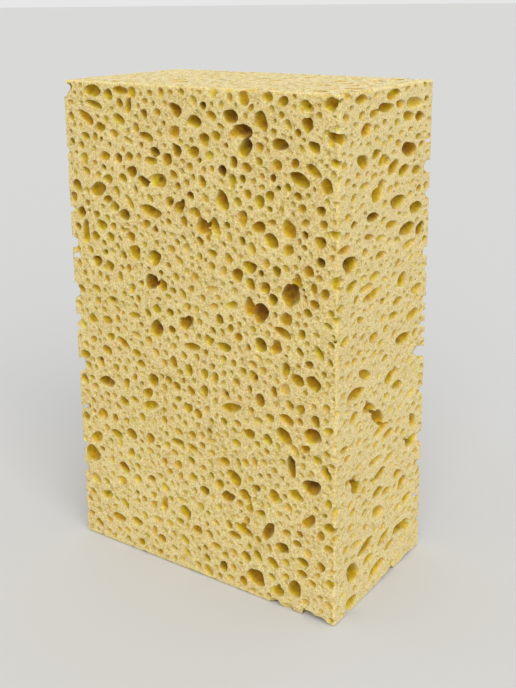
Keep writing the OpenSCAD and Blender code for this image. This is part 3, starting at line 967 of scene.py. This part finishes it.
@dataclass
class SpongeBlock:
    """The sponge: its block, its pores and its finish."""

    name: str = "sponge_foam_block"
    node: str = "sponge_block"
    edge_wear_mm: float = 0.9
    # How far a rim's point may lie off the straight line between its neighbours and be spare
    rim_slack_mm: float = 0.03
    # Steepest rim, in degrees, whose shading runs on into the pore
    soft_rim: float = 100.0
    field_of_pores: PoreField = field(default_factory=PoreField)
    shaper: BowlShaper = field(default_factory=BowlShaper)
    bites: EdgeBites = field(default_factory=EdgeBites)
    finish: FoamFinish = field(default_factory=FoamFinish)

    def __post_init__(self) -> None:
        """Reads the block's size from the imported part."""
        low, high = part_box(self.node)
        self.width = round((high.x - low.x) / MM, 3)
        self.depth = round((high.y - low.y) / MM, 3)
        self.height = round((high.z - low.z) / MM, 3)

    def faces(self) -> list[Face]:
        """Gives the six faces with the stretch and the numbers that the part's source uses."""
        w, d, h = self.width, self.depth, self.height
        return [
            Face(Side.FRONT, w, h, d, 1.0, 700),
            Face(Side.RIGHT, d, h, w, 2.0, 800),
            Face(Side.BACK, w, h, d, 1.0, 100),
            Face(Side.LEFT, d, h, w, 2.0, 300),
            Face(Side.TOP, w, d, h, 1.0, 400),
            Face(Side.BASE, w, d, h, 1.0, 600),
        ]

    def raw_block(self) -> bpy.types.Object:
        """Models the sawn block before any pore is opened.

        Returns:
            The cuboid, with its twelve edges worn round.
        """
        bpy.ops.object.select_all(action="DESELECT")
        bpy.ops.mesh.primitive_cube_add(size=1, location=(0, 0, self.height * MM / 2))
        block = bpy.context.object
        block.name = self.name
        block.data.name = self.name
        block.scale = (self.width * MM, self.depth * MM, self.height * MM)
        bpy.ops.object.transform_apply(location=True, rotation=True, scale=True)
        bpy.ops.object.mode_set(mode="EDIT")
        bpy.ops.mesh.select_all(action="SELECT")
        bpy.ops.mesh.bevel(offset=self.edge_wear_mm * MM, segments=3, profile=0.5)
        bpy.ops.object.mode_set(mode="OBJECT")
        return block

    def cutters(self) -> list[tuple[np.ndarray, list[tuple[int, ...]]]]:
        """Makes the cutting shape of every pore and bite, in the block's millimetres."""
        shapes = []
        for face in self.faces():
            matrix = face.matrix(self.height)
            pores = self.field_of_pores.on_face(face)
            for pore in pores:
                points, faces = self.shaper.shape(pore)
                shapes.append((points @ matrix[:3, :3].T + matrix[:3, 3], faces))
            LOG.info("%s: %d pores", face.side.name.lower(), len(pores))
        shapes += self.bites.all_tubes(self.width, self.depth, self.height)
        return shapes

    def batches(
        self, shapes: list[tuple[np.ndarray, list[tuple[int, ...]]]]
    ) -> list[list[int]]:
        """Sorts the cutting shapes into groups in which none touches another.

        Args:
            shapes: The shapes.

        Returns:
            The groups, as lists of shape numbers.
        """
        cell = 6.0
        boxes = [(p.min(axis=0) - 0.03, p.max(axis=0) + 0.03) for p, _ in shapes]
        groups: list[list[int]] = []
        shelves: list[dict[tuple[int, int, int], list[int]]] = []
        order = sorted(range(len(shapes)), key=lambda n: -float(np.ptp(shapes[n][0], axis=0).max()))
        for n in order:
            low, high = boxes[n]
            a, b = np.floor(low / cell).astype(int), np.floor(high / cell).astype(int)
            keys = [
                (x, y, z)
                for x in range(a[0], b[0] + 1)
                for y in range(a[1], b[1] + 1)
                for z in range(a[2], b[2] + 1)
            ]
            for group, shelf in zip(groups, shelves):
                rivals = {m for key in keys for m in shelf.get(key, ())}
                if all(
                    (boxes[m][0] > high).any() or (boxes[m][1] < low).any() for m in rivals
                ):
                    break
            else:
                group, shelf = [], {}
                groups.append(group)
                shelves.append(shelf)
            group.append(n)
            for key in keys:
                shelf.setdefault(key, []).append(n)
        return groups

    def cut(self, block: bpy.types.Object) -> None:
        """Cuts every pore and bite out of the block.

        Args:
            block: The block.
        """
        shapes = self.cutters()
        for group in self.batches(shapes):
            points, faces, start = [], [], 0
            for n in group:
                points.append(shapes[n][0] * MM)
                faces += [tuple(start + i for i in f) for f in shapes[n][1]]
                start += len(shapes[n][0])
            mesh = bpy.data.meshes.new("pore_cutters")
            mesh.from_pydata(np.vstack(points).tolist(), [], faces)
            tool = bpy.data.objects.new("pore_cutters", mesh)
            bpy.context.collection.objects.link(tool)
            bpy.ops.object.select_all(action="DESELECT")
            bpy.context.view_layer.objects.active = block
            block.select_set(True)
            opening = block.modifiers.new("pores", "BOOLEAN")
            opening.operation = "DIFFERENCE"
            opening.solver = "MANIFOLD"
            opening.object = tool
            bpy.ops.object.modifier_apply(modifier=opening.name)
            bpy.data.objects.remove(tool)
            bpy.data.meshes.remove(mesh)
            LOG.info("cut %d shapes, mesh has %d faces", len(group), len(block.data.polygons))

    def clean_up(self, block: bpy.types.Object) -> None:
        """Takes spare points off the rims and deletes what the pores cut loose.

        Args:
            block: The block after its pores are cut.
        """
        shape = bmesh.new()
        shape.from_mesh(block.data)
        spare = []
        for vert in shape.verts:
            if len(vert.link_edges) == 2:
                a, b = (edge.other_vert(vert).co for edge in vert.link_edges)
                off = (vert.co - a).cross(b - a).length / max((b - a).length, 1e-9)
                if off < self.rim_slack_mm * MM:
                    spare.append(vert)
        bmesh.ops.dissolve_verts(shape, verts=spare)
        left = set(shape.verts)
        bodies = []
        while left:
            first = left.pop()
            body, edge_of_body = [first], [first]
            while edge_of_body:
                for edge in edge_of_body.pop().link_edges:
                    for vert in edge.verts:
                        if vert in left:
                            left.remove(vert)
                            body.append(vert)
                            edge_of_body.append(vert)
            bodies.append(body)
        bodies.sort(key=len)
        for body in bodies[:-1]:
            bmesh.ops.delete(shape, geom=body, context="VERTS")
        shape.to_mesh(block.data)
        shape.free()
        LOG.info("dropped %d spare points and %d crumbs", len(spare), len(bodies) - 1)

    def build(self) -> bpy.types.Object:
        """Models the whole sponge, dresses it and ties it to the part.

        Returns:
            The finished piece.
        """
        block = self.raw_block()
        self.cut(block)
        self.clean_up(block)
        bpy.ops.object.shade_smooth_by_angle(angle=math.radians(self.soft_rim))
        lips = block.modifiers.new("soft_lips", "WEIGHTED_NORMAL")
        lips.mode = "FACE_AREA"
        lips.weight = 100
        lips.keep_sharp = True
        bpy.ops.object.modifier_apply(modifier=lips.name)
        block.data.materials.clear()
        half = (self.width * MM / 2, self.depth * MM / 2)
        block.data.materials.append(self.finish.build(half, self.height * MM))
        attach(block, "root")
        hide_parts(self.node)
        return block


@dataclass
class Studio:
    """The plain pale floor, the soft light and the camera."""

    floor_seen: tuple[float, float, float] = (0.66, 0.66, 0.65)
    floor_lit: tuple[float, float, float] = (0.4, 0.4, 0.39)
    backdrop: float = 0.8
    fill: float = 0.67
    key_strength: float = 2.05
    key_spread: float = 60.0
    key_from: tuple[float, float, float] = (0.58, -0.58, 0.57)
    camera_place: tuple[float, float, float] = (0.2257, -0.3149, 0.2255)
    azimuth: float = 34.97
    down: float = 14.07
    roll: float = -0.54
    lens: float = 52.27
    shift_y: float = -0.14

    def floor(self) -> bpy.types.Object:
        """Lays the floor.

        Returns:
            The floor's object.
        """
        bpy.ops.object.select_all(action="DESELECT")
        bpy.ops.mesh.primitive_circle_add(vertices=96, radius=30.0, fill_type="NGON")
        floor = bpy.context.object
        floor.name = "studio_floor"
        paint = bpy.data.materials.new("studio_floor_paint")
        paint.use_nodes = True
        nodes, links = paint.node_tree.nodes, paint.node_tree.links
        shader = nodes["Principled BSDF"]
        path = nodes.new("ShaderNodeLightPath")
        seen = nodes.new("ShaderNodeMix")
        seen.data_type = "RGBA"
        colours = [s for s in seen.inputs if s.type == "RGBA"]
        colours[0].default_value = (*self.floor_lit, 1.0)
        colours[1].default_value = (*self.floor_seen, 1.0)
        links.new(path.outputs["Is Camera Ray"], seen.inputs[0])
        mixed = next(s for s in seen.outputs if s.type == "RGBA")
        links.new(mixed, shader.inputs["Base Color"])
        shader.inputs["Roughness"].default_value = 0.85
        shader.inputs["Specular IOR Level"].default_value = 0.1
        floor.data.materials.append(paint)
        return floor

    def lights(self) -> None:
        """Hangs the soft key light and sets the even light of the room."""
        key = bpy.data.lights.new("key_light", "SUN")
        key.angle = math.radians(self.key_spread)
        key.energy = self.key_strength
        lamp = bpy.data.objects.new("key_light", key)
        lamp.location = self.key_from
        lamp.rotation_euler = (-lamp.location).to_track_quat("-Z", "Y").to_euler()
        bpy.context.collection.objects.link(lamp)
        world = bpy.data.worlds.new("studio_room")
        world.use_nodes = True
        nodes, links = world.node_tree.nodes, world.node_tree.links
        background = nodes["Background"]
        path = nodes.new("ShaderNodeLightPath")
        seen = nodes.new("ShaderNodeMath")
        seen.operation = "MAXIMUM"
        links.new(path.outputs["Is Camera Ray"], seen.inputs[0])
        links.new(path.outputs["Is Glossy Ray"], seen.inputs[1])
        strength = nodes.new("ShaderNodeMapRange")
        strength.inputs["To Min"].default_value = self.fill
        strength.inputs["To Max"].default_value = self.backdrop
        links.new(seen.outputs[0], strength.inputs["Value"])
        background.inputs["Color"].default_value = (1.0, 1.0, 1.0, 1.0)
        links.new(strength.outputs[0], background.inputs["Strength"])
        bpy.context.scene.world = world

    def camera(self) -> bpy.types.Object:
        """Sets up the camera at the view that the sponge is judged from.

        Returns:
            The camera.
        """
        data = bpy.data.cameras.new("main_camera")
        data.sensor_width = 36.0
        data.lens = self.lens
        data.shift_y = self.shift_y
        camera = bpy.data.objects.new("main_camera", data)
        turn = (
            Matrix.Rotation(math.radians(self.azimuth), 4, "Z")
            @ Matrix.Rotation(math.radians(90 - self.down), 4, "X")
            @ Matrix.Rotation(math.radians(self.roll), 4, "Z")
        )
        camera.matrix_world = Matrix.Translation(self.camera_place) @ turn
        bpy.context.collection.objects.link(camera)
        bpy.context.scene.camera = camera
        return camera

    def build(self) -> None:
        """Makes the floor, the lights and the camera, and sets the plain view transform."""
        self.camera()
        self.floor()
        self.lights()
        bpy.context.scene.view_settings.view_transform = "Standard"


def main() -> None:
    logging.basicConfig(level=logging.INFO, format="%(name)s: %(message)s")
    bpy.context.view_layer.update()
    Studio().build()
    sponge = SpongeBlock().build()
    corners = sum(len(p.vertices) - 2 for p in sponge.data.polygons)
    LOG.info("%s: %d triangles", sponge.name, corners)
    bpy.context.view_layer.update()


if __name__ == "__main__":
    main()
